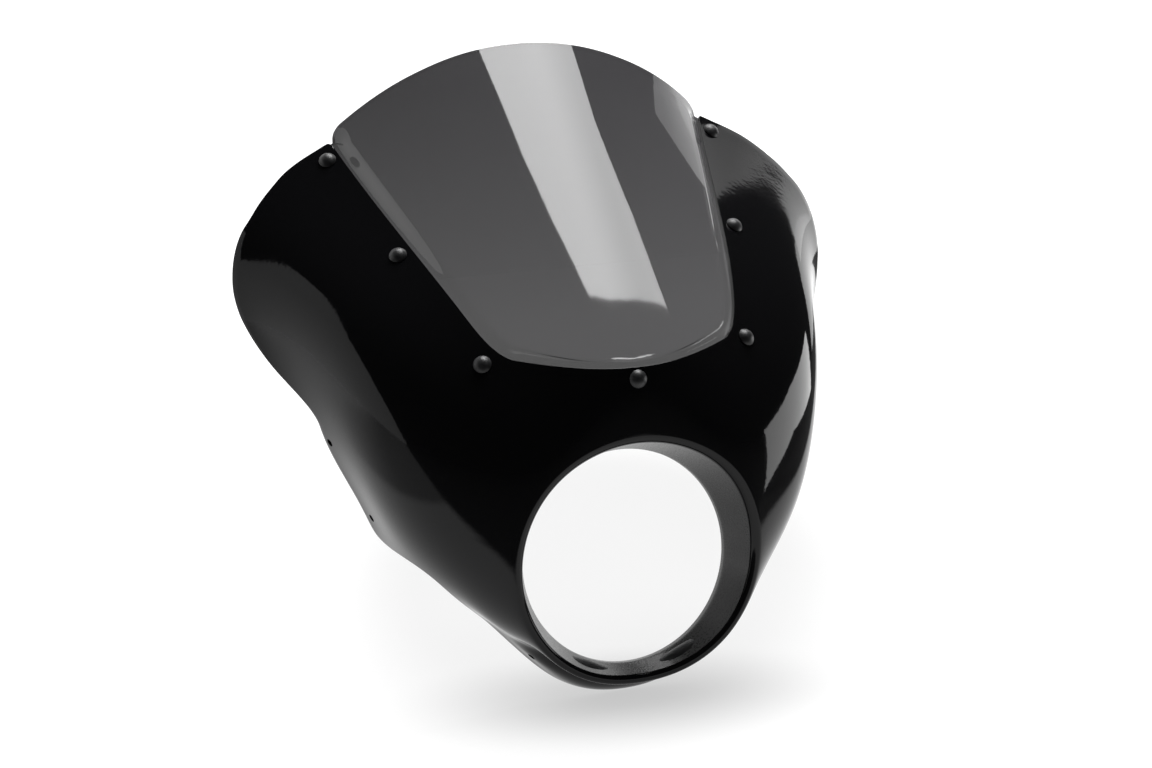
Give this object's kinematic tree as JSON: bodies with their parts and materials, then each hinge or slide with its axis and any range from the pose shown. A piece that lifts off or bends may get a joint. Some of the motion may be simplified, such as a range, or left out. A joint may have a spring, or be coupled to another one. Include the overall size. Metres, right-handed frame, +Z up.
{
  "type": "motorcycle semi-fairing",
  "caption": "Headlight semi-fairing: gloss black moulded shell with a flared round headlight opening and side flanges, and a smoked windscreen held behind it by domed bolts",
  "frame": {"origin": "centre of the rear edge of the round headlight opening", "axes": "+X to the rider's left, +Y to the rear along the headlight axis, +Z up; symmetric about X = 0"},
  "size_m": [0.5024, 0.2485, 0.4983],
  "materials": {
    "shell_gloss": "high gloss black paint on moulded plastic",
    "screen_smoke": "dark smoke tinted gloss acrylic",
    "bolt_black": "satin black",
    "washer_nylon": "matte black nylon",
    "nut_steel": "zinc plated steel"
  },
  "bodies": {
    "root": {"fairing_shell": "shell_gloss", "windscreen": "screen_smoke", "screen_bolts": "bolt_black", "screen_washers": "washer_nylon", "screen_nuts": "nut_steel"}
  },
  "joints": []
}
